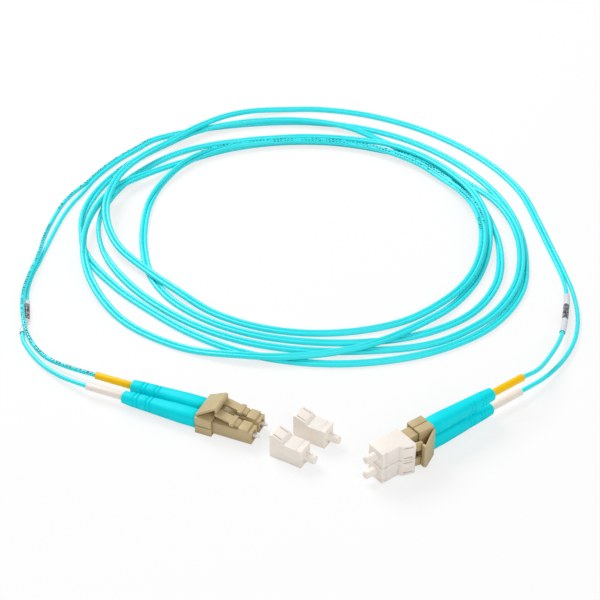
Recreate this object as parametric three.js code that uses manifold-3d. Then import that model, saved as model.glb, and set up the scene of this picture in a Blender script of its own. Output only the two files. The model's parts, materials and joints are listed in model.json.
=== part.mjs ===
// A duplex LC fibre optic patch cord: two clipped pairs of push-latch connectors joined by a
// flat two-strand cord that lies in a loose coil. Millimetres, +Z up, resting on z = 0.
// Each channel has its own frame: +X towards the nose, origin at the centre of the nose face,
// +Z towards the latch. A connector holds two channels side by side in Y.
import * as THREE from 'three';
import { mergeVertices } from 'three/addons/utils/BufferGeometryUtils.js';
import Module from 'manifold-3d';

const wasm = await Module();
wasm.setup();

// ---------------------------------------------------------------- driving dimensions
const FIT = 0.3;            // clearance between pieces that sit on or in each other
const OVERCUT = 0.5;        // how far a cutting tool runs past the face it opens
const ROUND_SIDES = 16;     // facets of a small turned piece

const FERRULE = { diameter: 1.25, reach: 2.0, length: 6.4, chamfer: 0.25, travel: 1.0 };
const FLANGE = { diameter: 2.8, length: 2.0, barrelDiameter: 1.5, barrelLength: 2.8 };
const SPRING = { diameter: 3.0, wire: 0.35, length: 4.0, turns: 4.5 };
const HOUSING = {
  length: 20, width: 4.5, height: 4.6,
  recessDiameter: 3.2, recessDepth: 3.3, shoulder: 0.9,
  noseStep: 1.4, rootFront: 0.7, rootRear: 0.95, rootLength: 3.2,
};
const LATCH = { width: 3.2, thickness: 0.9, length: 8.5, kneeAt: 3.3, kneeRise: 0.8, rise: 2.2,
  lugAt: 1.6, lugLength: 1.5, lugHeight: 0.25 };
const CLIP = { length: 6, rearReach: 0.2, wall: 0.68, floor: 0.7, roof: 0.5, seamHeight: -0.2 };
const TRIGGER = { thickness: 0.6, rise: 3.9, overhang: 0.7, lip: 0.8, lipDrop: 0.9,
  rearInset: 0.7, frontInset: 2.05 };
const CAP = { wall: 0.425, floor: 0.5, length: 11.8, frontWall: 1.3, roofFront: 1.0, roofRear: 0.6,
  rearLength: 4.2, noseDiameter: 2.8, noseLength: 4, boreDiameter: 2.0, boreDepth: 4.0,
  slotWidth: 0.5, slotLength: 3.0, slotInset: 1.0, groove: 0.3 };
const REAR = { plugDiameter: 3.0, flangeDiameter: 3.8, flangeLength: 1.0, postDiameter: 2.2,
  postLength: 5.2, boreDiameter: 1.5 };
const CRIMP = { wall: 0.35, length: 6.4 };
const FIBRE = { diameter: 0.9 };
const BOOT = { front: 5.4, tail: 4.2, straight: 6, length: 28, wall: 0.5, grooveDepth: 0.3,
  grooveWidth: 0.6, grooveFromTail: [4, 5.5, 9, 10.5] };
const STRAND = { diameter: 1.6, web: 0.05, sides: 8, step: 6.5 };
const MARKER = { wall: 0.2, length: 14 };
const LABEL = { wall: 0.2 };
const COIL = { centre: [0, 125], outer: 88, inner: 64, height: 6.4, chamfer: 1.6,
  stretch: 1.08, squash: 0.92, turn: -45, facets: 56 };

// Where each connector and each loose cap lies: nose point, heading and roll in degrees.
// The cord crosses over, so channel 1 is on the left side of A and on the right side of B.
const CONNECTOR_A = { name: 'a', x: -15.8, y: -0.9, heading: -23.5, onEdge: false, firstSide: 1 };
const CONNECTOR_B = { name: 'b', x: 23, y: -19.5, heading: -142.8, onEdge: true, firstSide: -1 };
const LOOSE_CAPS = [
  { name: 'dust_cap_a1', x: 6.1, y: -3.4, heading: -29.5 },
  { name: 'dust_cap_a2', x: -1.6, y: -12.8, heading: -31 },
];

// The cord's free route, point by point. Each strand runs from its marker sleeve to the coil or
// to the place where the two strands part, and the zip run goes from the coil to that place.
const ROUTE_A1 = [[-83.5, 33.1, 2.4], [-90.6, 38.2, 1.9], [-95.8, 43.9, 2.5], [-99.2, 49.8, 3.4],
  [-101.3, 56, 3.8], [-103, 63.5, 3.75], [-104.2, 71.5, 3.5], [-104.6, 80, 2.95],
  [-103.9, 89.3, 2.8], [-102.9, 97, 2.8], [-102.3, 104, 2.7], [-102.5, 111.5, 1.6],
  [-102.2, 118.5, 0.9], [-101.4, 124.7, 0.85], [-99.8, 133.5, 0.85], [-97.7, 141.5, 0.85],
  [-94.6, 148.6, 0.85], [-91.2, 154.4, 0.85]];
const ROUTE_A2 = [[-84.8, 28.4, 1.8], [-92.5, 35.9, 1.2], [-98.1, 43.9, 1.1], [-101, 49.7, 1.25],
  [-101.8, 55, 1.3], [-101.5, 61, 1.3], [-102.6, 69.8, 1.3], [-103.9, 80, 0.95],
  [-103.5, 90, 0.85], [-102, 99, 0.85], [-100.9, 107, 0.85], [-99.8, 114.8, 0.85],
  [-98.4, 123.4, 0.85], [-96.6, 132.4, 0.85], [-93.8, 141.5, 0.85], [-88.4, 153.2, 0.85]];
const ROUTE_ZIP = [[-9, 215.5, 0.85], [2, 217, 0.85], [14, 216, 0.85], [30, 211.5, 0.85],
  [46, 203.5, 0.85], [61, 191.5, 0.85], [73.5, 176.5, 0.85], [83.5, 158, 0.85], [90.5, 137, 0.85],
  [94.8, 114, 0.85], [97.6, 92, 0.85], [98.8, 80.2, 0.85]];
const ROUTE_B1 = [[79, 24.6, 7.6], [84.2, 33.8, 5.4], [90.6, 47.8, 3.2], [94.6, 62.5, 2],
  [97.4, 79.2, 1.1]];
const ROUTE_B2 = [[83.2, 28, 2.2], [90.8, 38.4, 1.4], [96.4, 50.2, 1], [99.4, 63.6, 0.85],
  [99.8, 79.5, 0.85]];
const LABEL_SPAN_A = [[-102.9, 71.8, 1.3], [-101.7, 52.6, 1.3]];
const LABEL_SPAN_B = [[96.9, 76.5, 1.3], [92, 51.4, 2.9]];

// ---------------------------------------------------------------- sizes that follow
const HALF_HEIGHT = HOUSING.height / 2;
const HALF_WIDTH = HOUSING.width / 2;
const CAP_WIDTH = HOUSING.width + 2 * (FIT + CAP.wall);
const PITCH = CAP_WIDTH + FIT;
const SHOULDER_REAR = -(HOUSING.recessDepth + HOUSING.shoulder);
const FLANGE_FRONT = SHOULDER_REAR - FIT;
const FLANGE_REAR = FLANGE_FRONT - FLANGE.length;
const BARREL_REAR = FLANGE_REAR - FLANGE.barrelLength;
const SPRING_FRONT = FLANGE_REAR - FIT;
const PLUG_FRONT = SPRING_FRONT - SPRING.length - FIT;
const CAVITY_RADIUS = Math.max(SPRING.diameter, FLANGE.diameter, REAR.plugDiameter) / 2 + FIT;
const ROOT_REAR = -(HOUSING.noseStep + HOUSING.rootLength);
const LATCH_HINGE = { x: ROOT_REAR - FIT, z: HALF_HEIGHT + FIT };
const LATCH_TAIL = { x: LATCH_HINGE.x - LATCH.length, z: LATCH_HINGE.z + LATCH.thickness + LATCH.rise };
const CLIP_FRONT = -(HOUSING.length + CLIP.rearReach - CLIP.length);
const CLIP_REAR = CLIP_FRONT - CLIP.length;
const SLOT_HALF_WIDTH = HALF_WIDTH + FIT;
const SLOT_HALF_HEIGHT = HALF_HEIGHT + FIT;
const CLIP_HALF_WIDTH = PITCH / 2 + SLOT_HALF_WIDTH + CLIP.wall;
const CLIP_BOTTOM = -(SLOT_HALF_HEIGHT + CLIP.floor);
const CLIP_TOP = SLOT_HALF_HEIGHT + CLIP.roof;
const TRIGGER_BOTTOM = CLIP_TOP + FIT;
const BOOT_FRONT = CLIP_REAR - FIT;
const BOOT_TAIL = BOOT_FRONT - BOOT.length;
const CRIMP_INNER = REAR.postDiameter / 2 + FIT;
const CRIMP_OUTER = CRIMP_INNER + CRIMP.wall;
const REAR_FLANGE_FRONT = -HOUSING.length - FIT;
const REAR_FLANGE_REAR = REAR_FLANGE_FRONT - REAR.flangeLength;
const CRIMP_FRONT = REAR_FLANGE_REAR - FIT;
const CRIMP_REAR = CRIMP_FRONT - CRIMP.length;
const BOOT_CAVITY = Math.max(REAR.flangeDiameter / 2, CRIMP_OUTER) + FIT;
const STRAND_FRONT = CRIMP_REAR;
const SLEEVE_INNER = STRAND.diameter / 2 + FIT;
const MARKER_FRONT = BOOT_TAIL - FIT;
const MARKER_REAR = MARKER_FRONT - MARKER.length;
const CAP_BOTTOM = -(SLOT_HALF_HEIGHT + CAP.floor);

// ---------------------------------------------------------------- shape helpers
const toSolid = (geometry) => {
  const bare = geometry.clone();
  bare.deleteAttribute('normal');
  bare.deleteAttribute('uv');
  const merged = mergeVertices(bare, 1e-4);
  return new wasm.Manifold(new wasm.Mesh({
    numProp: 3,
    vertProperties: Float32Array.from(merged.attributes.position.array),
    triVerts: Uint32Array.from(merged.index.array),
  }));
};

const toGeometry = (solid) => {
  const mesh = solid.getMesh();
  const geometry = new THREE.BufferGeometry();
  geometry.setAttribute('position', new THREE.BufferAttribute(mesh.vertProperties, 3));
  geometry.setIndex(new THREE.BufferAttribute(mesh.triVerts, 1));
  geometry.computeVertexNormals();
  return geometry;
};

const cut = (body, ...tools) => toGeometry(
  tools.reduce((solid, tool) => solid.subtract(toSolid(tool)), toSolid(body)));
const join = (body, ...others) => toGeometry(
  others.reduce((solid, other) => solid.add(toSolid(other)), toSolid(body)));
const common = (body, other) => toGeometry(toSolid(body).intersect(toSolid(other)));

// A box given by its two opposite corners.
const block = (x0, x1, y0, y1, z0, z1) => new THREE.BoxGeometry(x1 - x0, y1 - y0, z1 - z0)
  .translate((x0 + x1) / 2, (y0 + y1) / 2, (z0 + z1) / 2);

const outline = (points) => new THREE.Shape(points.map(([u, v]) => new THREE.Vector2(u, v)));

// A side view in X and Z, made into a solid of the given half width in Y.
const sideSolid = (points, halfWidth) => new THREE.ExtrudeGeometry(outline(points),
  { depth: 2 * halfWidth, bevelEnabled: false }).rotateX(Math.PI / 2).translate(0, halfWidth, 0);

// A plan view in X and Y, made into a solid from z0 to z1.
const planSolid = (points, z0, z1) => new THREE.ExtrudeGeometry(outline(points),
  { depth: z1 - z0, bevelEnabled: false }).translate(0, 0, z0);

// A piece turned about the X axis: profile points are [x, radius], front to rear.
const turned = (points, sides = ROUND_SIDES) => new THREE.LatheGeometry(
  points.map(([x, radius]) => new THREE.Vector2(radius, x)).reverse(), sides).rotateZ(-Math.PI / 2);

// A turned tube: the outer profile front to rear, and one straight bore.
const turnedTube = (outer, boreRadius, sides = ROUND_SIDES) => {
  const front = outer[0][0];
  const rear = outer[outer.length - 1][0];
  return turned([[front, boreRadius], ...outer, [rear, boreRadius], [front, boreRadius]], sides);
};

// A skin through rounded-square rings along X: each ring is [x, half size, squareness].
const loftRings = (rings, sides = ROUND_SIDES) => {
  const positions = [];
  const index = [];
  rings.forEach(([x, half, power]) => {
    for (let i = 0; i < sides; i += 1) {
      const angle = (2 * Math.PI * (i + 0.5)) / sides;
      const c = Math.cos(angle);
      const s = Math.sin(angle);
      const reach = half / (Math.abs(c) ** power + Math.abs(s) ** power) ** (1 / power);
      positions.push(x, reach * c, reach * s);
    }
  });
  for (let r = 0; r < rings.length - 1; r += 1) {
    for (let i = 0; i < sides; i += 1) {
      const a = r * sides + i;
      const b = r * sides + ((i + 1) % sides);
      index.push(a, a + sides, b, b, a + sides, b + sides);
    }
  }
  const last = (rings.length - 1) * sides;
  for (let i = 1; i < sides - 1; i += 1) {
    index.push(0, i, i + 1, last, last + i + 1, last + i);
  }
  const geometry = new THREE.BufferGeometry();
  geometry.setAttribute('position', new THREE.Float32BufferAttribute(positions, 3));
  geometry.setIndex(index);
  geometry.computeVertexNormals();
  return geometry;
};

// ---------------------------------------------------------------- pieces of one channel
const ferrule = () => {
  const radius = FERRULE.diameter / 2;
  const tip = FERRULE.reach;
  return turned([[tip, 0], [tip, radius - FERRULE.chamfer], [tip - FERRULE.chamfer, radius],
    [tip - FERRULE.length, radius], [tip - FERRULE.length, 0]]);
};

// The metal flange is a cup that the ferrule's rear end sits in.
const ferruleFlange = () => {
  const radius = FLANGE.diameter / 2;
  const barrel = FLANGE.barrelDiameter / 2;
  const cup = FERRULE.diameter / 2 + FIT / 2;
  const cupBottom = FERRULE.reach - FERRULE.length - FIT;
  return turned([[cupBottom, 0], [cupBottom, cup], [FLANGE_FRONT, cup], [FLANGE_FRONT, radius],
    [FLANGE_REAR, radius], [FLANGE_REAR, barrel], [BARREL_REAR, barrel], [BARREL_REAR, 0]]);
};

class Helix extends THREE.Curve {
  constructor(radius, length, turns) {
    super();
    Object.assign(this, { radius, length, turns });
  }

  getPoint(t, target = new THREE.Vector3()) {
    const angle = 2 * Math.PI * this.turns * t;
    return target.set(-this.length * t, this.radius * Math.cos(angle), this.radius * Math.sin(angle));
  }
}

const spring = () => {
  const wireRadius = SPRING.wire / 2;
  const coil = new Helix(SPRING.diameter / 2 - wireRadius, SPRING.length - 2 * SPRING.wire, SPRING.turns);
  const section = new THREE.Shape().absarc(0, 0, wireRadius, 0, 2 * Math.PI, false);
  return new THREE.ExtrudeGeometry(section,
    { steps: Math.round(SPRING.turns * 9), curveSegments: 3, extrudePath: coil })
    .translate(SPRING_FRONT - SPRING.wire, 0, 0);
};

// The body carries the ferrule in a stepped bore and the fixed front of the latch on its nose.
const housing = () => {
  const rootFront = -HOUSING.noseStep;
  const body = sideSolid([[0, -HALF_HEIGHT], [0, HALF_HEIGHT], [rootFront, HALF_HEIGHT],
    [rootFront, HALF_HEIGHT + HOUSING.rootFront], [ROOT_REAR, HALF_HEIGHT + HOUSING.rootRear],
    [ROOT_REAR, HALF_HEIGHT], [-HOUSING.length, HALF_HEIGHT], [-HOUSING.length, -HALF_HEIGHT]],
  HALF_WIDTH);
  const throat = FERRULE.diameter / 2 + FIT;
  const recess = HOUSING.recessDiameter / 2;
  const bore = turned([[OVERCUT, 0], [OVERCUT, recess], [-HOUSING.recessDepth, recess],
    [-HOUSING.recessDepth, throat], [SHOULDER_REAR, throat], [SHOULDER_REAR, CAVITY_RADIUS],
    [-HOUSING.length - OVERCUT, CAVITY_RADIUS], [-HOUSING.length - OVERCUT, 0]]);
  return cut(body, bore);
};

// The springing part of the latch, from its hinge line on the nose to the tail under the trigger.
const latchArm = () => {
  const { x, z } = LATCH_HINGE;
  const knee = x - LATCH.kneeAt;
  const arm = sideSolid([[x, z], [x, z + LATCH.thickness], [knee, z + LATCH.thickness + LATCH.kneeRise],
    [LATCH_TAIL.x, LATCH_TAIL.z], [LATCH_TAIL.x, LATCH_TAIL.z - LATCH.thickness],
    [knee, z + LATCH.kneeRise]], LATCH.width / 2);
  const lugFront = x - LATCH.lugAt;
  const lugBottom = z + LATCH.kneeRise / 2;
  const lugs = block(lugFront - LATCH.lugLength, lugFront, -HALF_WIDTH, HALF_WIDTH,
    lugBottom, lugBottom + LATCH.thickness + LATCH.lugHeight);
  return join(arm, lugs);
};

// The rear body closes the spring cavity, and its post takes the crimped strength yarn.
const rearBody = () => {
  const plug = REAR.plugDiameter / 2;
  const flange = REAR.flangeDiameter / 2;
  const post = REAR.postDiameter / 2;
  const postEnd = REAR_FLANGE_REAR - REAR.postLength;
  return turnedTube([[PLUG_FRONT, plug], [REAR_FLANGE_FRONT, plug], [REAR_FLANGE_FRONT, flange],
    [REAR_FLANGE_REAR, flange], [REAR_FLANGE_REAR, post], [postEnd, post]], REAR.boreDiameter / 2);
};

const crimpRing = () => turnedTube([[CRIMP_FRONT, CRIMP_OUTER], [CRIMP_REAR, CRIMP_OUTER]], CRIMP_INNER);

const fibre = () => {
  const radius = FIBRE.diameter / 2;
  const front = BARREL_REAR - FERRULE.travel - FIT;
  const rear = STRAND_FRONT + FIT;
  return turned([[front, 0], [front, radius], [rear, radius], [rear, 0]], 8);
};

const boot = () => {
  const frontHalf = BOOT.front / 2;
  const tailHalf = BOOT.tail / 2;
  const taperStart = BOOT_FRONT - BOOT.straight;
  const halfAt = (x) => THREE.MathUtils.mapLinear(x, taperStart, BOOT_TAIL, frontHalf, tailHalf);
  const rings = [[BOOT_FRONT, frontHalf, 6], [taperStart, frontHalf, 6]];
  [...BOOT.grooveFromTail].reverse().forEach((distance) => {
    const rear = BOOT_TAIL + distance;
    const front = rear + BOOT.grooveWidth;
    const slope = BOOT.grooveWidth / 4;
    rings.push([front, halfAt(front), 4], [front - slope, halfAt(front) - BOOT.grooveDepth, 4],
      [rear + slope, halfAt(rear) - BOOT.grooveDepth, 4], [rear, halfAt(rear), 4]);
  });
  rings.push([BOOT_TAIL, tailHalf, 2.4]);
  const bore = turned([[BOOT_FRONT + OVERCUT, 0], [BOOT_FRONT + OVERCUT, BOOT_CAVITY],
    [CRIMP_REAR - FIT, BOOT_CAVITY], [CRIMP_REAR - FIT, SLEEVE_INNER],
    [BOOT_TAIL - OVERCUT, SLEEVE_INNER], [BOOT_TAIL - OVERCUT, 0]]);
  return cut(loftRings(rings), bore);
};

const markerSleeve = () => turnedTube([[MARKER_FRONT, SLEEVE_INNER + MARKER.wall],
  [MARKER_REAR, SLEEVE_INNER + MARKER.wall]], SLEEVE_INNER, 12);

// ---------------------------------------------------------------- pieces of one connector
const channelOffset = ({ firstSide }, channel) => (firstSide * PITCH * (channel === 1 ? 1 : -1)) / 2;

const clipSlots = () => [-PITCH / 2, PITCH / 2].map((y) => {
  return block(CLIP_REAR - OVERCUT, CLIP_FRONT + OVERCUT, y - SLOT_HALF_WIDTH, y + SLOT_HALF_WIDTH,
    -SLOT_HALF_HEIGHT, SLOT_HALF_HEIGHT);
});

const clipUpper = () => cut(block(CLIP_REAR, CLIP_FRONT, -CLIP_HALF_WIDTH, CLIP_HALF_WIDTH,
  CLIP.seamHeight + FIT / 2, CLIP_TOP), ...clipSlots());
const clipLower = () => cut(block(CLIP_REAR, CLIP_FRONT, -CLIP_HALF_WIDTH, CLIP_HALF_WIDTH,
  CLIP_BOTTOM, CLIP.seamHeight - FIT / 2), ...clipSlots());

// The trigger hinges on the clip's rear top edge, and its front lip lies over both latch tails.
const trigger = () => {
  const lipFront = LATCH_TAIL.x + TRIGGER.overhang;
  const lipRear = lipFront - TRIGGER.lip;
  const lipBottom = LATCH_TAIL.z + FIT;
  const top = TRIGGER_BOTTOM + TRIGGER.thickness;
  const side = sideSolid([[CLIP_REAR, TRIGGER_BOTTOM], [CLIP_REAR, top],
    [lipRear, top + TRIGGER.rise], [lipFront, top + TRIGGER.rise - TRIGGER.thickness / 2],
    [lipFront, lipBottom], [lipRear, lipBottom], [lipRear, lipBottom + TRIGGER.lipDrop],
    [CLIP_REAR + TRIGGER.thickness, TRIGGER_BOTTOM]], CLIP_HALF_WIDTH);
  const rearHalf = CLIP_HALF_WIDTH - TRIGGER.rearInset;
  const frontHalf = CLIP_HALF_WIDTH - TRIGGER.frontInset;
  const plan = planSolid([[CLIP_REAR - OVERCUT, -rearHalf], [lipFront + OVERCUT, -frontHalf],
    [lipFront + OVERCUT, frontHalf], [CLIP_REAR - OVERCUT, rearHalf]],
  CLIP_BOTTOM, top + TRIGGER.rise + OVERCUT);
  return common(side, plan);
};

// A dust cap slides over one nose. Its roof is raised at the rear to clear the latch.
const dustCap = () => {
  const front = FIT + CAP.frontWall;
  const rear = front - CAP.length;
  const knee = rear + CAP.rearLength;
  const cavityFloor = -SLOT_HALF_HEIGHT;
  const archAt = (x) => LATCH_HINGE.z + LATCH.thickness + LATCH.lugHeight + FIT
    + (LATCH_HINGE.x - x) * (LATCH.rise / LATCH.length);
  const cavityRear = archAt(rear);
  const cavityKnee = archAt(knee);
  const rootTop = HALF_HEIGHT + HOUSING.rootRear + FIT;
  const roofFront = rootTop + CAP.roofFront / 4;
  const body = sideSolid([[rear, CAP_BOTTOM], [rear, cavityRear + CAP.roofRear],
    [rear + CAP.roofFront, cavityRear + CAP.roofRear], [knee, cavityKnee + CAP.roofRear],
    [knee + CAP.roofFront, roofFront], [front - 2 * CAP.roofFront, roofFront],
    [front - 2 * CAP.roofFront, roofFront - CAP.groove], [front - CAP.roofFront, roofFront - CAP.groove],
    [front - CAP.roofFront, roofFront], [front, roofFront], [front, CAP_BOTTOM]], CAP_WIDTH / 2);
  const nose = turned([[front + CAP.noseLength, 0],
    [front + CAP.noseLength, CAP.noseDiameter / 2 - CAP.groove],
    [front + CAP.noseLength - CAP.groove, CAP.noseDiameter / 2],
    [FIT + CAP.frontWall / 2, CAP.noseDiameter / 2], [FIT + CAP.frontWall / 2, 0]]);
  const cavity = sideSolid([[rear - OVERCUT, cavityFloor], [rear - OVERCUT, archAt(rear - OVERCUT)],
    [knee, cavityKnee], [ROOT_REAR, rootTop], [FIT, rootTop], [FIT, cavityFloor]], SLOT_HALF_WIDTH);
  const bore = turned([[front + CAP.boreDepth - FIT, 0],
    [front + CAP.boreDepth - FIT, CAP.boreDiameter / 2], [0, CAP.boreDiameter / 2], [0, 0]]);
  const slots = [-1, 1].map((side) => {
    const y = side * (SLOT_HALF_WIDTH - CAP.slotInset / 2);
    return block(rear + CAP.slotInset, rear + CAP.slotInset + CAP.slotLength,
      y - CAP.slotWidth / 2, y + CAP.slotWidth / 2, rootTop, cavityRear + 2 * CAP.roofFront);
  });
  return cut(join(body, nose), cavity, bore, ...slots);
};

// ---------------------------------------------------------------- placing
const placement = ({ x, y, heading, onEdge = false }, height) => {
  const yaw = new THREE.Quaternion().setFromAxisAngle(
    new THREE.Vector3(0, 0, 1), THREE.MathUtils.degToRad(heading));
  const roll = new THREE.Quaternion().setFromAxisAngle(
    new THREE.Vector3(1, 0, 0), onEdge ? -Math.PI / 2 : 0);
  const turn = yaw.multiply(roll);
  return new THREE.Matrix4().compose(new THREE.Vector3(x, y, height), turn, new THREE.Vector3(1, 1, 1));
};

const connectorMatrix = (connector) => placement(connector,
  connector.onEdge ? CLIP_HALF_WIDTH : -CLIP_BOTTOM);

// A point on a channel's axis, in the part's own frame.
const onChannel = (connector, channel, x) => new THREE.Vector3(x, channelOffset(connector, channel), 0)
  .applyMatrix4(connectorMatrix(connector));

// ---------------------------------------------------------------- cord
const roundSection = (radius, sides) => {
  const section = new THREE.Shape();
  for (let i = 0; i < sides; i += 1) {
    const angle = (2 * Math.PI * (i + 0.5)) / sides;
    section[i === 0 ? 'moveTo' : 'lineTo'](radius * Math.cos(angle), radius * Math.sin(angle));
  }
  return section.closePath();
};

const tubeAlong = (curve, section, step = STRAND.step) => new THREE.ExtrudeGeometry(section,
  { steps: Math.max(2, Math.round(curve.getLength() / step)), extrudePath: curve });

const strandCurve = (connector, channel, route) => {
  const straight = [STRAND_FRONT, BOOT_TAIL, MARKER_REAR - 1, MARKER_REAR - 4]
    .map((x) => onChannel(connector, channel, x));
  return new THREE.CatmullRomCurve3([...straight, ...route.map((p) => new THREE.Vector3(...p))]);
};

const strand = (connector, channel, route) => tubeAlong(strandCurve(connector, channel, route),
  roundSection(STRAND.diameter / 2, STRAND.sides));

// The joined stretch: two round strands side by side, drawn as one flat octagon.
const zipRun = () => {
  const halfTall = STRAND.diameter / 2;
  const halfWide = STRAND.diameter + STRAND.web / 2;
  const corner = halfTall / 2;
  const section = outline([[-halfTall, -halfWide + corner], [-corner, -halfWide],
    [corner, -halfWide], [halfTall, -halfWide + corner], [halfTall, halfWide - corner],
    [corner, halfWide], [-corner, halfWide], [-halfTall, halfWide - corner]]);
  const curve = new THREE.CatmullRomCurve3(ROUTE_ZIP.map((p) => new THREE.Vector3(...p)));
  return tubeAlong(curve, section);
};

// A shrunk-on label sleeve follows the stretch of strand between two points near it.
const labelSleeve = (connector, channel, route, [from, to]) => {
  const curve = strandCurve(connector, channel, route);
  const samples = curve.getSpacedPoints(400);
  const nearest = (point) => {
    const target = new THREE.Vector3(...point);
    return samples.reduce((best, sample, i) => (
      sample.distanceTo(target) < samples[best].distanceTo(target) ? i : best), 0);
  };
  const [first, last] = [nearest(from), nearest(to)].sort((a, b) => a - b);
  const span = Array.from({ length: 9 }, (_, i) => curve.getPointAt(
    THREE.MathUtils.lerp(first, last, i / 8) / 400));
  const section = roundSection(SLEEVE_INNER + LABEL.wall, STRAND.sides);
  section.holes.push(roundSection(SLEEVE_INNER, STRAND.sides));
  return tubeAlong(new THREE.CatmullRomCurve3(span), section);
};

const cableCoil = () => {
  const { outer, inner, height, chamfer } = COIL;
  const profile = [[inner, chamfer], [inner + chamfer, 0], [outer - chamfer, 0], [outer, chamfer],
    [outer, height - chamfer], [outer - chamfer, height], [inner + chamfer, height],
    [inner, height - chamfer], [inner, chamfer]];
  return new THREE.LatheGeometry(profile.map(([r, z]) => new THREE.Vector2(r, z)), COIL.facets)
    .rotateX(Math.PI / 2)
    .scale(COIL.stretch, COIL.squash, 1)
    .rotateZ(THREE.MathUtils.degToRad(COIL.turn))
    .translate(COIL.centre[0], COIL.centre[1], 0);
};

// ---------------------------------------------------------------- materials
const finish = (name, color, roughness, metalness = 0) => () => new THREE.MeshStandardMaterial(
  { name, color, roughness, metalness });
const beige = finish('beige_plastic', 0xbdaa85, 0.45);
const white = finish('white_plastic', 0xf0e8df, 0.4);
const aqua = finish('aqua_jacket', 0x2fd6dc, 0.45);
const aquaBoot = finish('aqua_boot', 0x00d2e2, 0.55);
const ceramic = finish('ceramic', 0xf4f2ee, 0.2);
const metal = finish('metal', 0xb9b9bb, 0.3, 1);
const yellow = finish('yellow_sleeve', 0xffc800, 0.5);
const whiteSleeve = finish('white_sleeve', 0xf3ebe3, 0.5);
const clear = finish('clear_sleeve', 0xd9dade, 0.25);

// ---------------------------------------------------------------- assembly
const patchCord = new THREE.Group();
patchCord.name = 'fibre_optic_patch_cord';

const addPiece = (parent, name, geometry, material) => {
  const mesh = new THREE.Mesh(geometry, material());
  mesh.name = name;
  parent.add(mesh);
};

const addChannel = (parent, connector, channel) => {
  const group = new THREE.Group();
  group.position.y = channelOffset(connector, channel);
  parent.add(group);
  const tag = `${connector.name}${channel}`;
  addPiece(group, `housing_${tag}`, housing(), beige);
  addPiece(group, `latch_arm_${tag}`, latchArm(), beige);
  addPiece(group, `ferrule_${tag}`, ferrule(), ceramic);
  addPiece(group, `ferrule_flange_${tag}`, ferruleFlange(), metal);
  addPiece(group, `spring_${tag}`, spring(), metal);
  addPiece(group, `rear_body_${tag}`, rearBody(), metal);
  addPiece(group, `crimp_ring_${tag}`, crimpRing(), metal);
  addPiece(group, `fibre_${tag}`, fibre(), aqua);
  addPiece(group, `boot_${tag}`, boot(), aquaBoot);
  addPiece(group, `marker_sleeve_${tag}`, markerSleeve(), channel === 1 ? yellow : whiteSleeve);
  if (connector.onEdge) addPiece(group, `dust_cap_${tag}`, dustCap(), white);
};

const addConnector = (connector) => {
  const group = new THREE.Group();
  connectorMatrix(connector).decompose(group.position, group.quaternion, group.scale);
  patchCord.add(group);
  addChannel(group, connector, 1);
  addChannel(group, connector, 2);
  addPiece(group, `clip_upper_${connector.name}`, clipUpper(), beige);
  addPiece(group, `clip_lower_${connector.name}`, clipLower(), beige);
  addPiece(group, `trigger_${connector.name}`, trigger(), beige);
};

addConnector(CONNECTOR_A);
addConnector(CONNECTOR_B);

LOOSE_CAPS.forEach((cap) => {
  const group = new THREE.Group();
  placement(cap, -CAP_BOTTOM).decompose(group.position, group.quaternion, group.scale);
  patchCord.add(group);
  addPiece(group, cap.name, dustCap(), white);
});

addPiece(patchCord, 'cable_coil', cableCoil(), aqua);
addPiece(patchCord, 'strand_a1', strand(CONNECTOR_A, 1, ROUTE_A1), aqua);
addPiece(patchCord, 'strand_a2', strand(CONNECTOR_A, 2, ROUTE_A2), aqua);
addPiece(patchCord, 'zip_run_b', zipRun(), aqua);
addPiece(patchCord, 'strand_b1', strand(CONNECTOR_B, 1, ROUTE_B1), aqua);
addPiece(patchCord, 'strand_b2', strand(CONNECTOR_B, 2, ROUTE_B2), aqua);
addPiece(patchCord, 'label_sleeve_a', labelSleeve(CONNECTOR_A, 2, ROUTE_A2, LABEL_SPAN_A), clear);
addPiece(patchCord, 'label_sleeve_b', labelSleeve(CONNECTOR_B, 1, ROUTE_B1, LABEL_SPAN_B), clear);

export default patchCord;
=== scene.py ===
# %% [markdown]
# # A duplex fibre optic patch cord
# A patch cord is a short fibre cable with a connector pair on each end. This one lies in a loose
# coil on a table. The lesson builds the cord as a real length of flexible cable that is laid down
# turn by turn, then the moulded connectors, the boots and the dust caps, and last the finishes.
# The measured frame comes first: every piece is placed in its coordinates, in metres.

# %% Load the measured frame
import json
import math

import bmesh
import bpy
import numpy as np
from mathutils import Matrix, Vector, kdtree

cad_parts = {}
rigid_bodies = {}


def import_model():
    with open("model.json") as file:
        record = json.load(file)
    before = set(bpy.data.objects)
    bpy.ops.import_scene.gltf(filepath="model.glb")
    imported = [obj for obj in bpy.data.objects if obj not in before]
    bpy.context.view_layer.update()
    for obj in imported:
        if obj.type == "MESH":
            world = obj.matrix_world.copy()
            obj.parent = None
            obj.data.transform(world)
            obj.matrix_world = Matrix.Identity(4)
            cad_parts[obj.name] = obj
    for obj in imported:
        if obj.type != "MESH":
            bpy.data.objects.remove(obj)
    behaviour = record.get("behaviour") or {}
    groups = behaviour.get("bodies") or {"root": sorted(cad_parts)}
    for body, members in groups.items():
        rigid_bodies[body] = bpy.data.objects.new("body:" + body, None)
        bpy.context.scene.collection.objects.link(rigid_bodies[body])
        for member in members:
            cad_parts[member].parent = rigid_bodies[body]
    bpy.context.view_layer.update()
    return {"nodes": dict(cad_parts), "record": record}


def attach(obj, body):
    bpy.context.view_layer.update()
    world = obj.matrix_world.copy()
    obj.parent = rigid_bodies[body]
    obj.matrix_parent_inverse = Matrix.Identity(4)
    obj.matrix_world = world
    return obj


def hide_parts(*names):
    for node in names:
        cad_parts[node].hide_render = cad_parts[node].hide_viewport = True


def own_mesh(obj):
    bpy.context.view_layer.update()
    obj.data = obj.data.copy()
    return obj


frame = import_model()
BODIES = frame["record"]["behaviour"]["bodies"]
BODY_OF = {node: body for body, nodes in BODIES.items() for node in nodes}
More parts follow.
